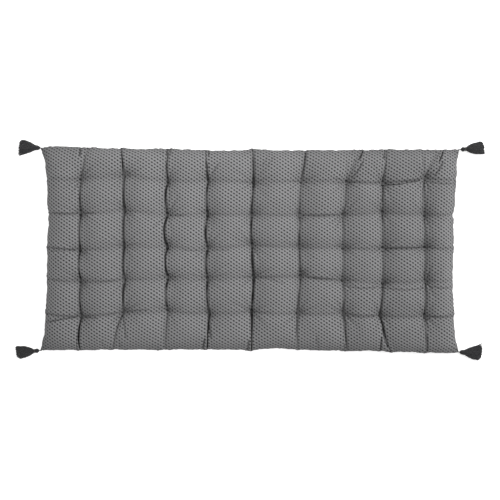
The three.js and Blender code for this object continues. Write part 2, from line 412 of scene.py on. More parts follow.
class TuftGrid:
    """The cells between the tufts and the edge seam, as the cover is drawn together."""

    def __init__(self, sizes):
        self.sizes = sizes
        self.columns = [-LENGTH / 2, *(x * MM for x in TUFT_COLUMNS), LENGTH / 2]
        self.rows = [-WIDTH / 2, *(row["y"] * MM for row in TUFT_ROWS), WIDTH / 2]

    def end_seam(self, column, y):
        """The end seam's distance from the middle, with its sign."""
        return -seam_line("left", y) if column == 0 else seam_line("right", y)

    def side_seam(self, row, x):
        """The side seam's distance from the middle, with its sign."""
        return -seam_line("near", x) if row == 0 else seam_line("far", x)

    def corner(self, column, row):
        """Place and swell of a tuft, or of the point of the seam that its line runs to."""
        x = self.columns[column]
        y = self.rows[row]
        at_end = column in (0, CELLS_LONG)
        at_side = row in (0, CELLS_WIDE)
        if at_end and at_side:
            return np.array((x, y, 0.0))
        if at_end:
            return np.array((self.end_seam(column, y), y, 0.0))
        if at_side:
            ends = NEAR_ENDS if row == 0 else FAR_ENDS
            x = ends[column - 1] * MM
            return np.array((x, self.side_seam(row, x), 0.0))
        tufts = TUFT_ROWS[row - 1]
        return np.array(
            (x + tufts["dx"][column - 1] * MM, y + tufts["dy"][column - 1] * MM, self.sizes.tuft_half)
        )

    def column_line(self, column, row, t):
        """The crease, or the end seam, between two rows of tufts."""
        point = mix(self.corner(column, row), self.corner(column, row + 1), t)
        if column in (0, CELLS_LONG):
            swell = math.copysign(END_SCALLOP * math.sin(math.pi * t), point[0])
            point[0] = self.end_seam(column, point[1]) + swell
            return point
        depth = COLUMN_CREASES[column - 1][row]
        low = mix(self.sizes.crown * NO_COLUMN_CREASE, self.sizes.column_crease, depth)
        point[0] += COLUMN_BOWS[column - 1][row] * MM * math.sin(math.pi * t)
        point[2] += (low - self.sizes.tuft_half) * sag(t)
        return point

    def row_line(self, column, row, t):
        """The crease, or the side seam, between two columns of tufts."""
        point = mix(self.corner(column, row), self.corner(column + 1, row), t)
        if row in (0, CELLS_WIDE):
            swell = math.copysign(SIDE_SCALLOP * math.sin(math.pi * t), point[1])
            point[1] = self.side_seam(row, point[0]) + swell
            return point
        depth = ROW_CREASES[row - 1][column]
        point[1] -= ROW_BOW * math.sin(math.pi * t)
        low = mix(self.sizes.crown * NO_ROW_CREASE, self.sizes.row_crease, depth)
        point[2] += (low - self.sizes.tuft_half) * sag(t)
        return point

    def point(self, column, row, across, up):
        """A point of one cell: a Coons patch between its four creases, with its crown."""
        left = self.column_line(column, row, up)
        right = self.column_line(column + 1, row, up)
        near = self.row_line(column, row, across)
        far = self.row_line(column, row + 1, across)
        corners = mix(
            mix(self.corner(column, row), self.corner(column + 1, row), across),
            mix(self.corner(column, row + 1), self.corner(column + 1, row + 1), across),
            up,
        )
        point = mix(left, right, across) + mix(near, far, up) - corners
        crown = self.sizes.crown
        point[2] += max(0.0, crown - point[2]) * puff(across) * puff(up)
        return point

    def seam_plane(self, x, y):
        """Height of the seam: level, but drooping at the four corner tips."""
        from_tip = math.hypot(LENGTH / 2 - abs(x), WIDTH / 2 - abs(y))
        droop = math.exp(-((from_tip / TIP_DROOP_RADIUS) ** 2))
        return mix(self.sizes.seam_height, self.sizes.tip_height, droop)


def bunched(t, bunching):
    """Draws the mesh of a cell together towards its creases."""
    return t - bunching * math.sin(2 * math.pi * t) / (2 * math.pi)


def in_cell(share, cells, steps, bunching):
    """The cell that a vertex of a panel belongs to, and how far through it the vertex lies."""
    step = round(share * cells * steps)
    cell = min(step // steps, cells - 1)
    return cell, bunched(step / steps - cell, bunching)


def new_object(name, mesh):
    made = bpy.data.objects.new(name, mesh)
    bpy.context.scene.collection.objects.link(made)
    return made


def evaluated_copy(source, name):
    """A new object with the source's mesh as its modifiers leave it."""
    graph = bpy.context.evaluated_depsgraph_get()
    mesh = bpy.data.meshes.new_from_object(source.evaluated_get(graph))
    return new_object(name, mesh)


def read_all(items, name, width):
    values = np.zeros(len(items) * width, np.float32)
    items.foreach_get(name, values)
    return values.reshape(-1, width) if width > 1 else values


def read_floats(mesh, name):
    return read_all(mesh.attributes[name].data, "value", 1)


def read_vectors(mesh, name):
    return read_all(mesh.attributes[name].data, "vector", 3)


def read_points(mesh):
    return read_all(mesh.vertices, "co", 3)


def read_normals(mesh):
    return read_all(mesh.vertex_normals, "vector", 3)


def sewn_panels(sizes):
    """The two panels of the cover, cut flat and welded round their edge, with a shape key that draws them
    together into their cells."""
    grid = TuftGrid(sizes)
    shape = bmesh.new()
    floats = ("flat_x", "flat_y", "grid_u", "grid_v", "side", "hold", "crease_vert")
    layers = {name: shape.verts.layers.float.new(name) for name in floats}
    sharp = shape.edges.layers.float.new("crease_edge")
    drawn = shape.verts.layers.float_vector.new("drawn")
    for side in (1, -1):
        made = bmesh.ops.create_grid(
            shape,
            x_segments=CELLS_LONG * sizes.steps_long,
            y_segments=CELLS_WIDE * sizes.steps_wide,
            size=0.5,
        )
        for vert in made["verts"]:
            column, across = in_cell(vert.co.x + 0.5, CELLS_LONG, sizes.steps_long, BUNCHING_LONG)
            row, up = in_cell(vert.co.y + 0.5, CELLS_WIDE, sizes.steps_wide, BUNCHING_WIDE)
            x, y, swell = grid.point(column, row, across, up)
            even_x = mix(grid.columns[column], grid.columns[column + 1], across)
            even_y = mix(grid.rows[row], grid.rows[row + 1], up)
            vert[layers["flat_x"]] = mix(x, even_x, EVEN_SHARE) * (1 + sizes.slack_long)
            vert[layers["flat_y"]] = mix(y, even_y, EVEN_SHARE) * (1 + sizes.slack_wide)
            vert[layers["grid_u"]] = column + across
            vert[layers["grid_v"]] = row + up
            vert[layers["side"]] = 0.0 if vert.is_boundary else side
            vert[layers["hold"]] = pin_weight(column, row, across, up)
            vert[layers["crease_vert"]] = 1.0 if vert.is_boundary and len(vert.link_faces) == 1 else 0.0
            apart = 0.0 if vert.is_boundary else side * FLAT_GAP
            vert[drawn] = (x, y, grid.seam_plane(x, y) + side * swell)
            vert.co = (vert[layers["flat_x"]], vert[layers["flat_y"]], sizes.seam_height + apart)
        if side < 0:
            bmesh.ops.reverse_faces(shape, faces=list({f for v in made["verts"] for f in v.link_faces}))
    for edge in shape.edges:
        edge[sharp] = 1.0 if edge.is_boundary else 0.0
    seam = [v for v in shape.verts if v.is_boundary]
    bmesh.ops.remove_doubles(shape, verts=seam, dist=0.01 * MM)
    mesh = bpy.data.meshes.new("cover_start")
    shape.to_mesh(mesh)
    shape.free()
    start = new_object("cover_start", mesh)
    start.shape_key_add(name="flat")
    together = start.shape_key_add(name="drawn")
    together.data.foreach_set("co", read_vectors(mesh, "drawn").ravel())
    return start


def pin_weight(column, row, across, up):
    """How firmly a vertex is held: fast at the tufts and tips, and less along the creases and seam."""
    on_column = {0: column, 1: column + 1}.get(across)
    on_row = {0: row, 1: row + 1}.get(up)
    at_end = on_column in (0, CELLS_LONG)
    at_side = on_row in (0, CELLS_WIDE)
    if on_column is not None and on_row is not None:
        return SEAM_END_HOLD if at_end != at_side else 1.0
    if at_end or at_side:
        from_corner = min(column + across, CELLS_LONG - column - across) if at_side else row + up
        from_corner = min(from_corner, CELLS_WIDE - from_corner) if at_end else from_corner
        return TIP_HOLD if from_corner < TIP_CELLS else SEAM_HOLD
    if on_column is not None:
        return mix(CREASE_HOLD, 1.0, COLUMN_CREASES[on_column - 1][row])
    if on_row is not None:
        return mix(CREASE_HOLD, 1.0, ROW_CREASES[on_row - 1][column])
    return 0.0


def blow_up(start, forces):
    """Draws the flat cover together and fills it: Blender's cloth simulation with pressure, in which the
    held points move from the flat cloth to their places."""
    mesh = start.data
    group = start.vertex_groups.new(name="held")
    for index, weight in enumerate(read_floats(mesh, "hold")):
        if weight > 0:
            group.add([index], float(weight), "REPLACE")
    cloth = start.modifiers.new("filling", "CLOTH")
    settings = cloth.settings
    settings.quality = 6
    settings.mass = forces.mass
    settings.tension_stiffness = forces.tension
    settings.compression_stiffness = forces.compression
    settings.shear_stiffness = forces.shear
    settings.bending_stiffness = forces.bending
    settings.use_pressure = True
    settings.uniform_pressure_force = forces.pressure
    settings.vertex_group_mass = group.name
    settings.pin_stiffness = forces.pin
    settings.effector_weights.gravity = 0
    cloth.collision_settings.use_collision = False
    cloth.point_cache.frame_start = 1
    cloth.point_cache.frame_end = 60
    scene = bpy.context.scene
    drawn = mesh.shape_keys.key_blocks["drawn"]
    for number, share in ((1, 0.0), (1 + forces.draw_frames, 1.0)):
        drawn.value = share
        drawn.keyframe_insert("value", frame=number)
    for number in range(1, forces.frames + 1):
        scene.frame_set(number)
    graph = bpy.context.evaluated_depsgraph_get()
    settled = read_points(start.evaluated_get(graph).data)
    start.modifiers.remove(cloth)
    return settled


def smoothed(start):
    """The filled cover with one step of subdivision, its seam kept as a knife edge."""
    smooth = start.modifiers.new("smooth", "SUBSURF")
    smooth.levels = 1
    smooth.render_levels = 1
    cover = evaluated_copy(start, "cover")
    bpy.data.objects.remove(start)
    return cover


def to_route(points, route):
    """For each point, its distance from a route, given in mm, and its distance along the route from the
    nearer end, both in metres."""
    legs = np.array(route) * MM
    lengths = np.linalg.norm(np.diff(legs, axis=0), axis=1)
    gap = np.full(len(points), np.inf)
    inside = np.zeros(len(points))
    passed = 0.0
    for start, end, length in zip(legs, legs[1:], lengths):
        share = np.clip((points[:, :2] - start) @ (end - start) / length**2, 0, 1)
        away = np.linalg.norm(points[:, :2] - start - share[:, None] * (end - start), axis=1)
        along = passed + share * length
        closer = away < gap
        gap = np.where(closer, away, gap)
        inside = np.where(closer, np.minimum(along, lengths.sum() - along), inside)
        passed += length
    return gap, inside


def refine_pleats(cover):
    """Halves the mesh of the upper panel along its pleats."""
    mesh = cover.data
    points = read_points(mesh)
    near = np.zeros(len(points), bool)
    for _, route in PLEATS:
        near |= to_route(points, route)[0] < PLEAT_REACH
    near &= read_floats(mesh, "side") > 0
    shape = bmesh.new()
    shape.from_mesh(mesh)
    edges = [e for e in shape.edges if near[e.verts[0].index] and near[e.verts[1].index]]
    bmesh.ops.subdivide_edges(shape, edges=edges, cuts=1, use_grid_fill=True)
    shape.to_mesh(mesh)
    shape.free()


def bell(distance, spread):
    return np.exp(-((distance / spread) ** 2) / 2)


def pressed(distance):
    """The section of a crease: 1 in its bottom, with a low lip on each side."""
    return bell(distance, CREASE_SPREAD) - LIP_HEIGHT * bell(distance, LIP_WIDER * CREASE_SPREAD)


def dent(distance, kind):
    """A round dent, or the shade painted round it, by its strength and half its width."""
    strength, spread = kind
    return strength * bell(distance, spread)


def noise_at(points, size):
    """Lumpy noise at each point, with lumps of the size given."""
    return np.array([noise.noise(Vector(point) / size) for point in points])


class Creases:
    """How far each point of the cover is pressed in, and how much shade is painted into its colour there."""

    def __init__(self, cover, sizes):
        self.mesh = cover.data
        self.points = read_points(self.mesh)
        self.column = read_floats(self.mesh, "grid_u")
        self.row = read_floats(self.mesh, "grid_v")
        self.side = read_floats(self.mesh, "side")
        self.press = np.zeros(len(self.points))
        self.painted_shade = np.zeros(len(self.points))
        self.grid = TuftGrid(sizes)
        self.depth = sizes.press
        self.patches = PATCH_MEAN + PATCH_SHARE * noise_at(self.points, PATCH_SIZE)

    def add(self, distance, strength):
        """Adds a crease at each point's distance from it, and paints a dark line of shade along its bottom.
        """
        self.press += strength * pressed(distance)
        self.painted_shade = np.maximum(self.painted_shade, strength * bell(distance, PAINTED_LINE_SPREAD))

    def lines(self, places, cells, along, depths, share):
        """Creases along the lines of one way of the grid, each with a depth for each of its stretches."""
        middles = np.arange(len(depths[0])) + 0.5
        for number, stretches in enumerate(depths, start=1):
            width = (places[number + 1] - places[number - 1]) / 2
            gap = (cells - number) * width
            depth = np.interp(along, middles, stretches)
            self.add(gap, depth**LINE_POWER * share * self.patches)
            # Softer shade painted along the valley, darker for a deeper crease
            shade = VALLEY_SHADE + VALLEY_DEEPER * depth
            self.painted_shade = np.maximum(self.painted_shade, shade * bell(gap, VALLEY_SPREAD))

    def pleats(self):
        """The smaller pleats, on the upper panel only, fading out at both ends."""
        for depth, route in PLEATS:
            gap, inside = to_route(self.points, route)
            fade = np.clip(inside / PLEAT_FADE, 0, 1) * (self.side > 0)
            self.add(gap, depth * fade * (2 - fade))

    def tufts(self, pick):
        """The fan of short pleats that each tuft gathers round it."""
        for row in range(1, CELLS_WIDE):
            for column in range(1, CELLS_LONG):
                place = self.grid.corner(column, row)
                away = self.points[:, :2] - place[:2]
                radius = np.linalg.norm(away, axis=1)
                angle = np.arctan2(away[:, 1], away[:, 0])
                folds = pick.choice(FAN_FOLDS)
                ripple = np.sin(folds * angle + pick.uniform(*ANY_START))
                varies = FAN_VARIES * np.sin(angle * 2 + pick.uniform(*ANY_START))
                ripple = ripple * (FAN_STRENGTH + varies)
                reach = pick.uniform(*FAN_REACH)
                fan = ripple * (radius / reach) * np.exp(1 - radius / reach)
                self.press += FAN_PRESS * fan + dent(radius, TUFT_DENT)
                # Shade painted along the fan's pleats, round the tuft and under its stitches
                shade = FAN_SHADE * fan + dent(radius, TUFT_SHADE)
                self.painted_shade = np.maximum(self.painted_shade, np.maximum(shade, dent(radius, STITCH_SHADE)))

    def apply(self):
        """Presses the creases in along the cloth's normals, less and less towards the seam."""
        seam = 1 - np.abs(self.side)
        rise = np.abs(self.points[:, 2] - self.grid.sizes.seam_height)
        free = np.clip(rise / FREE_RISE, 0, 1) * (1 - seam)
        push = self.press * self.depth * free * np.where(self.side > 0, 1, LOWER_SHARE)
        push = np.minimum(push, np.maximum(0, rise - PANEL_GAP))
        moved = self.points - read_normals(self.mesh) * push[:, None]
        self.mesh.vertices.foreach_set("co", moved.astype(np.float32).ravel())
        # Shade painted beside the seam, darker towards it, and a line of painted shade in the seam itself
        from_side = np.minimum(self.row, CELLS_WIDE - self.row) * WIDTH / CELLS_WIDE
        from_end = np.minimum(self.column, CELLS_LONG - self.column) * LENGTH / CELLS_LONG
        edge = EDGE_SHADE * bell(np.minimum(from_side, from_end), EDGE_SPREAD)
        # All the painted shade goes into one attribute, which darkens the cloth's colour
        painted_shade = np.maximum(np.maximum(self.painted_shade, edge), SEAM_SHADE * (np.abs(self.side) < IN_SEAM))
        folds = self.mesh.attributes.new("painted_shade", "FLOAT", "POINT")
        folds.data.foreach_set("value", np.clip(painted_shade, 0, 1).astype(np.float32))


def uneven(cover):
    """Soft lumps and hollows of a loose filling, and the puckers of the seam."""
    points = read_points(cover.data)
    side = read_floats(cover.data, "side")
    lumps = noise_at(points, LUMP_SIZE) + 0.5 * noise_at(points, SMALL_LUMP_SIZE)
    points += read_normals(cover.data) * (lumps * np.abs(side) * LUMP_HEIGHT)[:, None]
    puckers = noise_at(points, PUCKER_SIZE) * (np.abs(side) < IN_SEAM)
    out = points * (1, 1, 0) / np.array((LENGTH / 2, WIDTH / 2, 1))
    out = np.sign(out) * (np.abs(out) > SEAM_START)
    points += out * (puckers * PUCKER_DEPTH)[:, None]
    cover.data.vertices.foreach_set("co", points.ravel())


def settle_on_floor(cover):
    """Moves the cover to its place and flattens what would sink into the floor."""
    points = read_points(cover.data)
    points[:, 0] += MIDDLE.x
    points[:, 1] += MIDDLE.y
    height = points[:, 2]
    rounded = (height + np.sqrt(height**2 + FLOOR_BEND**2)) / 2
    points[:, 2] = np.maximum(0, rounded - FLOOR_SINK)
    cover.data.vertices.foreach_set("co", points.ravel())


def cloth_map(cover):
    """The cloth's own UV map, in metres of the flat panel."""
    mesh = cover.data
    flat = np.column_stack((read_floats(mesh, "flat_x"), read_floats(mesh, "flat_y")))
    corners = np.zeros(len(mesh.loops), np.int32)
    mesh.loops.foreach_get("vertex_index", corners)
    mesh.uv_layers.new(name="cloth").data.foreach_set("uv", flat[corners].astype(np.float32).ravel())


def tuft_places(cover):
    """Where the cloth lies at each tuft, on the upper and on the lower panel."""
    column = read_floats(cover.data, "grid_u")
    row = read_floats(cover.data, "grid_v")
    side = read_floats(cover.data, "side")
    points = read_points(cover.data)
    places = []
    for number in range(1, CELLS_LONG):
        for line in range(1, CELLS_WIDE):
            for facing in (1, -1):
                off = np.abs(column - number) + np.abs(row - line) + 2 * np.abs(side - facing)
                places.append((Vector(points[np.argmin(off)]), facing))
    return places


class Value:
    """The output of a shader node, on which arithmetic adds Math nodes."""

    def __init__(self, finish, socket):
        self.finish = finish
        self.socket = socket

    def __add__(self, other):
        return self.finish.math("ADD", self, other)

    def __sub__(self, other):
        return self.finish.math("SUBTRACT", self, other)

    def __rsub__(self, other):
        return self.finish.math("SUBTRACT", other, self)

    def __mul__(self, other):
        return self.finish.math("MULTIPLY", self, other)

    def __truediv__(self, other):
        return self.finish.math("DIVIDE", self, other)

    __radd__ = __add__
    __rmul__ = __mul__


class Finish:
    """A material and the nodes that make its finish."""

    def __init__(self, name, constants):
        self.material = bpy.data.materials.new(name)
        self.material.use_nodes = True
        self.tree = self.material.node_tree
        self.shader = self.tree.nodes["Principled BSDF"]
        for socket, value in constants.items():
            self.shader.inputs[socket].default_value = value

    def feed(self, socket, value):
        if isinstance(value, Value):
            self.tree.links.new(value.socket, socket)
        else:
            socket.default_value = value

    def node(self, kind, settings=None, output=0, inputs=None):
        made = self.tree.nodes.new(kind)
        for name, value in (settings or {}).items():
            setattr(made, name, value)
        for key, value in (inputs or {}).items():
            self.feed(made.inputs[key], value)
        return Value(self, made.outputs[output])

    def math(self, operation, *values):
        return self.node("ShaderNodeMath", {"operation": operation}, inputs=dict(enumerate(values)))

    def vector(self, operation, *values):
        return self.node("ShaderNodeVectorMath", {"operation": operation}, inputs=dict(enumerate(values)))

    def blend(self, share, first, second):
        settings = {"data_type": "RGBA", "blend_type": "MIX"}
        return self.node("ShaderNodeMix", settings, 2, {0: share, 6: first, 7: second})

    def scaled(self, vector, size):
        """A vector made longer, or a colour made lighter, by a number."""
        return self.node("ShaderNodeVectorMath", {"operation": "SCALE"}, 0, {0: vector, "Scale": size})

    def step(self, value, start, end, low=0.0, high=1.0):
        """Goes smoothly from low to high while the value goes from start to end."""
        settings = {"interpolation_type": "SMOOTHSTEP"}
        inputs = {"Value": value, "From Min": start, "From Max": end, "To Min": low, "To Max": high}
        return self.node("ShaderNodeMapRange", settings, 0, inputs)

    def noise(self, place, scale, detail=2.0, output="Fac"):
        inputs = {"Vector": place, "Scale": scale, "Detail": detail}
        return self.node("ShaderNodeTexNoise", None, output, inputs)

    def parts(self, place):
        split = self.node("ShaderNodeSeparateXYZ", None, 0, {0: place})
        return [Value(self, socket) for socket in split.socket.node.outputs]

    def bump(self, height, distance, strength):
        inputs = {"Height": height, "Distance": distance, "Strength": strength}
        self.feed(self.shader.inputs["Normal"], self.node("ShaderNodeBump", None, 0, inputs))


class ClothLook(bpy.types.PropertyGroup):
    """The cover's cloth: a mid-grey ground with a small staggered dot."""

    ground: colour_of("Ground", "Colour of the cloth between the dots", (0.19, 0.19, 0.193))
    dot: colour_of("Dot", "Colour of the dots", (0.02, 0.02, 0.022))
    pitch_long: length_of("Pitch along", "From a dot to the next one along the length", 24.7)
    pitch_wide: length_of("Pitch across", "From a dot to the next one across the width", 16.1)
    dot_long: length_of("Dot length", "Half the length of a dot, along its slant", 4.5)
    dot_wide: length_of("Dot width", "Half the width of a dot", 3.7)
    thread: length_of("Thread", "From thread to thread of the weave", 1.1)


# The soft edge of a dot, by the square of the distance in half sizes
DOT_OUTSIDE = 1.5
DOT_INSIDE = 0.6
# How far the repeat drifts where the cloth was printed and sewn unevenly
DRIFT = 7 * MM
# How much painted shade of full strength darkens the cloth's colour
PAINTED_SHADE_DARKNESS = 0.9


def dots(finish, look, long, wide, offset):
    """A mask of slanting dots on one of the two lattices, 1 inside a dot."""
    slant = math.atan2(look.pitch_wide, look.pitch_long)
    x = (finish.math("FRACT", long / look.pitch_long + offset) - 0.5) * look.pitch_long
    y = (finish.math("FRACT", wide / look.pitch_wide + offset) - 0.5) * look.pitch_wide
    along = (x * math.cos(slant) - y * math.sin(slant)) / look.dot_long
    across = (x * math.sin(slant) + y * math.cos(slant)) / look.dot_wide
    return finish.step(along * along + across * across, start=DOT_OUTSIDE, end=DOT_INSIDE)


def cloth_finish(look):
    """Matt cotton: the printed dots, paler streaks between their slanting rows, the weave, and shade painted
    into its colour at the creases, tufts and seam.
    """
    matt = {"Roughness": 0.9, "Sheen Weight": 0.15, "Sheen Roughness": 0.6, "Specular IOR Level": 0.25}
    finish = Finish("cover_cloth", matt)
    place = finish.node("ShaderNodeUVMap", {"uv_map": "cloth"})
    drift = finish.vector("SUBTRACT", finish.noise(place, scale=15.0, output="Color"), (0.5, 0.5, 0.5))
    drifted = finish.vector("ADD", place, finish.scaled(drift, DRIFT))
    long, wide, _ = finish.parts(drifted)
    dot = finish.math("MAXIMUM", dots(finish, look, long, wide, 0.0), dots(finish, look, long, wide, 0.5))
    slant = math.atan2(look.pitch_wide, look.pitch_long)
    row_pitch = look.pitch_long * math.sin(slant)
    between = (long * math.sin(slant) + wide * math.cos(slant)) * (2 * math.pi / row_pitch)
    streak = finish.math("COSINE", between)
    wear = finish.noise(place, scale=9.0, detail=3.0)
    fibre = finish.noise(place, scale=420.0)
    ink = dot * finish.step(finish.noise(place, scale=160.0), start=0.1, end=0.62, low=0.72, high=1.0)
    # Shade painted into the colour from the cover's attribute: darker in the creases, round the tufts and at
    # the seam
    painted_shade = finish.node("ShaderNodeAttribute", {"attribute_name": "painted_shade"}, "Fac")
    # Wear, fibres and streaks each change the cloth's lightness a little
    light = 0.86 + wear * 0.18 + fibre * 0.12 - streak * 0.12
    colour = finish.blend(ink, (*look.ground, 1), (*look.dot, 1))
    colour = finish.scaled(colour, light * (1 - painted_shade * PAINTED_SHADE_DARKNESS))
    finish.feed(finish.shader.inputs["Base Color"], colour)
    turn = math.pi / look.thread
    warp = finish.math("SINE", long * turn)
    weft = finish.math("SINE", wide * turn)
    finish.bump(warp * weft * 0.5 + fibre * 0.6 + ink * 0.3, distance=0.35 * MM, strength=0.6)
    return finish.material


# How much lighter than its colour a yarn's outer fibres are, and the fineness of yarn and thread
PALE_FIBRE = 2.1
YARN_GRAIN = 700.0
THREAD_GRAIN = 900.0


def yarn_finish(name, colour, grain):
    """Matt cotton yarn: darker between its fibres, with a little lint."""
    matt = {"Roughness": 0.92, "Sheen Weight": 0.25, "Sheen Roughness": 0.5, "Specular IOR Level": 0.2}
    finish = Finish(name, matt)
    place = finish.node("ShaderNodeTexCoord", None, "Object")
    fibre = finish.noise(place, scale=grain, detail=3.0)
    tone = finish.noise(place, scale=60.0)
    pale = tuple(min(1.0, c * PALE_FIBRE) for c in colour)
    lint = finish.step(fibre + tone * 0.5, start=0.45, end=1.0)
    finish.feed(finish.shader.inputs["Base Color"], finish.blend(lint, (*colour, 1), (*pale, 1)))
    finish.bump(fibre, distance=0.5 * MM, strength=0.8)
    return finish.material


def tubes(name, routes, radius):
    """Threads or strands as one mesh: a tube along each route."""
    curve = bpy.data.curves.new(name, "CURVE")
    curve.dimensions = "3D"
    curve.bevel_depth = radius
    curve.bevel_resolution = 1
    curve.use_fill_caps = True
    for route in routes:
        spline = curve.splines.new("POLY")
        spline.points.add(len(route) - 1)
        for point, place in zip(spline.points, route):
            point.co = (*place, 1)
    holder = new_object(name + "_curve", curve)
    made = evaluated_copy(holder, name)
    bpy.data.objects.remove(holder)
    made.data.shade_smooth()
    return made


def fit(piece, material, slot, *nodes):
    """Gives a finished piece its material and ties it to the frame."""
    piece.data.materials.clear()
    piece.data.materials.append(material)
    if nodes:
        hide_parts(*nodes)
    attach(piece, "root")


class MATTRESS_OT_cover(bpy.types.Operator):
    """Cuts, sews, fills and tufts the cover"""

    bl_idname = "mattress.cover"
    bl_label = "Cover"

    def execute(self, context):
        sizes = context.scene.mattress_cover
        start = sewn_panels(sizes)
        settled = blow_up(start, context.scene.mattress_filling)
        start.shape_key_clear()
        start.data.vertices.foreach_set("co", settled.ravel())
        cover = smoothed(start)
        uneven(cover)
        refine_pleats(cover)
        creases = Creases(cover, sizes)
        creases.lines(creases.grid.columns, creases.column, creases.row, COLUMN_CREASES, COLUMN_PRESS)
        creases.lines(creases.grid.rows, creases.row, creases.column, ROW_CREASES, ROW_PRESS)
        creases.pleats()
        creases.tufts(random.Random(FAN_SEED))
        creases.apply()
        settle_on_floor(cover)
        cloth_map(cover)
        cover.data.shade_smooth()
        cover.data.update()
        fit(cover, cloth_finish(context.scene.mattress_cloth), "cover_cloth", "mattress")
        return {"FINISHED"}


class ThreadLook(bpy.types.PropertyGroup):
    """The tufting thread and the yarn of the tassels."""

    thread: colour_of("Thread", "Colour of the tufting and binding thread", (0.03, 0.029, 0.028))
    yarn: colour_of("Yarn", "Colour of the tassels' yarn", (0.013, 0.013, 0.014))
    thread_radius: length_of("Thread radius", "Half the thickness of the thread", 0.9)
    ply_radius: length_of("Ply radius", "Half the thickness of each of a cord's two plies", 1.25)
    yarn_radius: length_of("Yarn radius", "Half the thickness of one strand", 1.1)
    strands: count_of("Strands", "Strands in one tassel", 230)
    stitch: length_of("Stitch", "Half the length of a tufting stitch", 2.6)


STITCH_STEPS = 8
STITCH_SEED = 11
# How far a stitch may be turned, in radians, and how long it may be, against the square cross
STITCH_TURNS = (-0.2, 0.2)
STITCH_REACH = (0.85, 1.15)
# A stitch's height over its tuft, how much higher the second one crosses, and how far the ends dip in
STITCH_LIFT = 1.6 * MM
CROSSING_LIFT = 0.7 * MM
STITCH_DIP = 4.5 * MM


def stitch_routes(place, facing, half, pick):
    """Two crossed stitches of thick thread over one tuft."""
    turn = pick.uniform(0, math.pi)
    for number in range(2):
        angle = turn + number * math.pi / 2 + pick.uniform(*STITCH_TURNS)
        reach = half * pick.uniform(*STITCH_REACH)
        way = Vector((math.cos(angle), math.sin(angle), 0))
        route = []
        for step in range(STITCH_STEPS + 1):
            share = 2 * step / STITCH_STEPS - 1
            lift = STITCH_LIFT + CROSSING_LIFT * number - STITCH_DIP * share**4
            route.append(place + way * (share * reach) + Vector((0, 0, facing * lift)))
        yield route


class MATTRESS_OT_tufting(bpy.types.Operator):
    """Ties a thread through the cover at each tuft"""

    bl_idname = "mattress.tufting"
    bl_label = "Tufting"

    def execute(self, context):
        look = context.scene.mattress_threads
        pick = random.Random(STITCH_SEED)
        cover = bpy.data.objects.get("cover")
        if cover is None:
            raise RuntimeError("The cover comes before its tufting thread")
        routes = []
        for place, facing in tuft_places(cover):
            routes += stitch_routes(place, facing, look.stitch, pick)
        stitches = tubes("tufting_thread", routes, look.thread_radius)
        fit(stitches, yarn_finish("tufting_thread", look.thread, THREAD_GRAIN), "binding_thread")
        return {"FINISHED"}


def tassel_frame(tassel):
    """The turn of a tassel, and the place of the corner tip that its cord leaves."""
    heading = Euler((0, 0, math.radians(tassel["heading"]))).to_matrix()
    tip = Vector((MIDDLE.x + tassel["end"] * LENGTH / 2, MIDDLE.y + tassel["side"] * WIDTH / 2, 0))
    return heading, tip


def section(along, name):
    """Half the width or half the height of a tassel at a distance along it, in metres."""
    return np.interp(along / MM, BUNDLE["at"], BUNDLE[name]) * MM


STRAND_STEPS = 30
STRAND_SEED = 20
# From strand to strand round the tassel: the angle that spreads any number of them evenly
STRAND_TURN = math.pi * (3 - math.sqrt(5))
# The strands lie between these shares of the bundle's half width
STRAND_DEPTHS = (0.3, 0.97)
# They lean together in locks, by up to this angle, and each strand leans by itself
LOCKS = 3
LOCK_LEAN = 0.09
OWN_LEAN = 0.05
# The skirt's cut: how far its strands end short of its length, how much its lobes add to them, and how
# uneven they are
CUT_SHORT = 3 * MM
CUT_LOBES = 5
CUT_LOBE = 2.5 * MM
CUT_UNEVEN = (-3.5 * MM, 2.5 * MM)
# The shorter side of the skirt starts at this share of its half width, and gets shorter by this power
SHORT_START = 0.35
SHORT_POWER = 1.5
# Which strands can be wisps, by their side and depth, how many of them are, and how far they stand out,
# as shares of the tassel's own reach
WISP_SIDE = 0.8
WISP_DEPTH = 0.75
WISP_CHANCE = 0.45
WISP_REACH = (0.4, 1.0)
# The strands start this far along the head, the skirt opens over a quarter of its length, and loose
# strands stand out over this much to each side of the middle of the neck
STRAND_START = 0.8 * MM
OPENING = 4
NECK_SPREAD = 8 * MM
# A strand's sway, the share of it that goes up and down, the waves in it, and how far its end strays
SWAY = 1.3 * MM
SWAY_UP = 0.4
SWAY_WAVES = (1.5, 3)
STRAY = 1.1 * MM


def place_along(along, length):
    """Where on the table of sections a place on a yarn of this length lies: only its skirt is stretched."""
    if along <= NECK_END:
        return along
    return NECK_END + (along - NECK_END) * (SECTIONS_LENGTH - NECK_END) / (length - NECK_END)


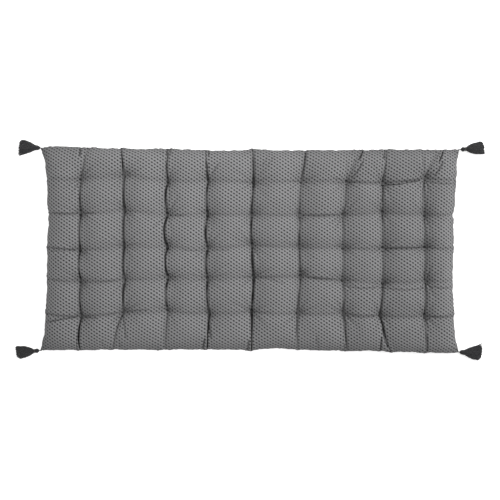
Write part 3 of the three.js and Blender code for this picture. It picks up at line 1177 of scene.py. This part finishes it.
def strand_route(tassel, look, pick, number):
    """One strand of yarn, from the cord over the head, through the neck and out to the skirt's end."""
    full = tassel["length"] * MM
    turn = number * STRAND_TURN
    depth = mix(*STRAND_DEPTHS, math.sqrt((number + 0.5) / look.strands))
    lock = math.sin(turn * LOCKS) * LOCK_LEAN
    sidewards = max(0.0, tassel["short_side"] * math.cos(turn) * depth - SHORT_START)
    sidewards /= STRAND_DEPTHS[1] - SHORT_START
    length = full - CUT_SHORT + CUT_LOBE * math.sin(turn * CUT_LOBES) + pick.uniform(*CUT_UNEVEN)
    length -= tassel["short"] * MM * sidewards**SHORT_POWER
    stray = pick.gauss(0, 1)
    phase = pick.uniform(*ANY_START)
    waves = pick.uniform(*SWAY_WAVES)
    wisp = 0.0
    if math.cos(turn) > WISP_SIDE and depth > WISP_DEPTH and pick.random() < WISP_CHANCE:
        wisp = tassel["wisp"] * MM * pick.uniform(*WISP_REACH)
    route = []
    for step in range(STRAND_STEPS + 1):
        along = mix(STRAND_START, length, step / STRAND_STEPS)
        open_share = max(0.0, (along - NECK_END) / (full - NECK_END))
        opened = min(1.0, open_share * OPENING)
        at = place_along(along, full)
        over_neck = tassel["loose"] * MM * bell(along - (NECK_START + NECK_END) / 2, NECK_SPREAD)
        head = mix(tassel["head"], 1.0, min(1.0, along / NECK_END) ** 3)
        wide = (section(at, "wide") * head * mix(1.0, tassel["spread"], opened) + over_neck) * depth
        high = (section(at, "high") + over_neck / 2) * depth
        centre = mix(TIP_HEIGHT, section(at, "high") * SKIRT_CENTRE_SHARE, opened)
        angle = turn + (lock + OWN_LEAN * stray) * open_share * 2
        sway = math.sin(waves * WHOLE_TURN * open_share + phase) * SWAY * open_share
        x = tassel["cord"] * MM + along
        y = wide * math.cos(angle) + sway + stray * STRAY * open_share**2 + wisp * open_share**3
        z = centre + high * math.sin(angle) + sway * SWAY_UP
        route.append(Vector((x, y, max(z, look.yarn_radius))))
    return route


# From turn to turn of the wound thread, in radii, and its steps in a turn
COIL_PITCH = 1.9
COIL_STEPS = 20


def coil_route(tassel, look):
    """The thread wound round the neck."""
    turns = int((NECK_END - NECK_START) / (COIL_PITCH * look.thread_radius))
    steps = turns * COIL_STEPS
    radius = NECK_RADIUS + look.thread_radius
    for step in range(steps + 1):
        angle = 2 * math.pi * turns * step / steps
        along = mix(NECK_START + look.thread_radius, NECK_END - look.thread_radius, step / steps)
        height = TIP_HEIGHT + radius * math.sin(angle)
        yield Vector((tassel["cord"] * MM + along, radius * math.cos(angle), height))


# How far a cord runs into the corner tip and into the head, how far one turn of its two plies goes, and
# how near to each other they lie, in radii
CORD_IN_TIP = 7 * MM
CORD_IN_HEAD = 5 * MM
PLY_TURN = 6 * MM
PLY_OFFSET = 0.85
PLY_STEPS = 30


def ply_route(tassel, look, ply):
    """One of the two plies of the cord, from inside the corner tip to inside the head."""
    offset = look.ply_radius * PLY_OFFSET
    for step in range(PLY_STEPS + 1):
        along = mix(-CORD_IN_TIP, tassel["cord"] * MM + CORD_IN_HEAD, step / PLY_STEPS)
        angle = along * 2 * math.pi / PLY_TURN + ply * math.pi
        yield Vector((along, offset * math.cos(angle), TIP_HEIGHT + offset * math.sin(angle)))


class MATTRESS_OT_tassels(bpy.types.Operator):
    """Makes the tassel of each corner: its cord, its strands and the thread wound round its neck"""

    bl_idname = "mattress.tassels"
    bl_label = "Tassels"

    def execute(self, context):
        look = context.scene.mattress_threads
        yarn = yarn_finish("tassel_yarn", look.yarn, YARN_GRAIN)
        thread = yarn_finish("binding_thread", look.thread, THREAD_GRAIN)
        for order, tassel in enumerate(TASSELS):
            name = tassel["name"]
            heading, tip = tassel_frame(tassel)
            pick = random.Random(STRAND_SEED + order)
            strands = [strand_route(tassel, look, pick, n) for n in range(look.strands)]
            binding = [list(coil_route(tassel, look))]
            plies = [list(ply_route(tassel, look, ply)) for ply in range(2)]
            pieces = (
                ("strands", strands, look.yarn_radius, yarn, "tassel_yarn", "tassel_yarn_"),
                ("binding", binding, look.thread_radius, thread, "binding_thread", "tassel_binding_"),
                ("cord", plies, look.ply_radius, yarn, "tassel_yarn", "tassel_cord_"),
            )
            for kind, routes, radius, material, slot, node in pieces:
                placed = [[heading @ point + tip for point in route] for route in routes]
                piece = tubes(f"{kind}_{name}", placed, radius)
                fit(piece, material, slot, node + name)
        return {"FINISHED"}


class StudioLight(bpy.types.PropertyGroup):
    """The plain studio."""

    key_power: power_of("Key light", "Power of the soft light from the right", 455.0)
    key_size: length_of("Key size", "Side of the key light's soft box", 4500)
    top_power: power_of("Top light", "Power of the wide spot over the middle", 780.0)
    sky: number_of("Fill", "Strength of the even light from all round", 0.52)
    floor: number_of("Floor", "How pale the floor is", 0.9)
    glow: number_of("Floor glow", "Light of the floor itself, which lifts its shadows", 0.6)


# The soft key light, far to the right, the spot over the middle, and the camera, which looks straight down
KEY_PLACE = Vector((5.2, 2.8, 4.2))
TOP_PLACE = Vector((-0.3, 0.33, 5.0))
TOP_CONE = math.radians(25.5)
CAMERA_PLACE = Vector((-0.3 * MM, 0.8 * MM, 5.259))
CAMERA_ROLL = math.radians(0.225)


class MATTRESS_OT_studio(bpy.types.Operator):
    """Sets the floor, the lights and the camera"""

    bl_idname = "mattress.studio"
    bl_label = "Studio"

    def execute(self, context):
        scene = context.scene
        light = scene.mattress_studio
        scene.view_settings.view_transform = "Standard"
        shape = bmesh.new()
        bmesh.ops.create_grid(shape, x_segments=4, y_segments=4, size=20)
        mesh = bpy.data.meshes.new("studio_floor")
        shape.to_mesh(mesh)
        shape.free()
        floor = new_object("studio_floor", mesh)
        pale = (light.floor, light.floor, light.floor, 1)
        paint = Finish(
            "studio_floor",
            {"Roughness": 0.9, "Base Color": pale, "Emission Color": pale, "Emission Strength": light.glow},
        )
        floor.data.materials.append(paint.material)
        world = bpy.data.worlds.new("studio")
        world.use_nodes = True
        sky = world.node_tree.nodes["Background"].inputs
        sky["Color"].default_value = (1, 1, 1, 1)
        sky["Strength"].default_value = light.sky
        scene.world = world
        lamp = bpy.data.lights.new("key", "AREA")
        lamp.energy = light.key_power
        lamp.size = light.key_size
        key = new_object("key", lamp)
        key.location = KEY_PLACE
        key.rotation_mode = "QUATERNION"
        key.rotation_quaternion = (-KEY_PLACE).to_track_quat("-Z", "Y")
        spot = bpy.data.lights.new("top", "SPOT")
        spot.energy = light.top_power
        spot.spot_size = TOP_CONE
        spot.spot_blend = 1
        spot.shadow_soft_size = 1
        new_object("top", spot).location = TOP_PLACE
        lens = bpy.data.cameras.new("camera")
        lens.lens = 85
        lens.sensor_width = 36
        camera = new_object("camera", lens)
        camera.location = CAMERA_PLACE
        camera.rotation_euler.z = CAMERA_ROLL
        scene.camera = camera
        return {"FINISHED"}


GROUPS = {
    "mattress_cover": CoverSizes,
    "mattress_filling": FillingForces,
    "mattress_cloth": ClothLook,
    "mattress_threads": ThreadLook,
    "mattress_studio": StudioLight,
}
OPERATORS = (MATTRESS_OT_studio, MATTRESS_OT_cover, MATTRESS_OT_tufting, MATTRESS_OT_tassels)


class MATTRESS_PT_panel(bpy.types.Panel):
    """The mattress's sizes and finishes, and a button for each of its pieces"""

    bl_label = "Mattress"
    bl_idname = "MATTRESS_PT_panel"
    bl_space_type = "VIEW_3D"
    bl_region_type = "UI"
    bl_category = "Mattress"

    def draw(self, context):
        for group, kind in GROUPS.items():
            box = self.layout.box()
            box.label(text=kind.__doc__)
            for name in kind.__annotations__:
                box.prop(getattr(context.scene, group), name)
        for operator in OPERATORS:
            self.layout.operator(operator.bl_idname)


def register():
    for made in (*GROUPS.values(), *OPERATORS, MATTRESS_PT_panel):
        bpy.utils.register_class(made)
    for name, kind in GROUPS.items():
        setattr(bpy.types.Scene, name, bpy.props.PointerProperty(type=kind))


def unregister():
    for name in GROUPS:
        delattr(bpy.types.Scene, name)
    for made in (MATTRESS_PT_panel, *reversed(OPERATORS), *reversed(GROUPS.values())):
        bpy.utils.unregister_class(made)


def main():
    register()
    bpy.ops.mattress.studio()
    bpy.ops.mattress.cover()
    bpy.ops.mattress.tufting()
    bpy.ops.mattress.tassels()


if __name__ == "__main__":
    main()
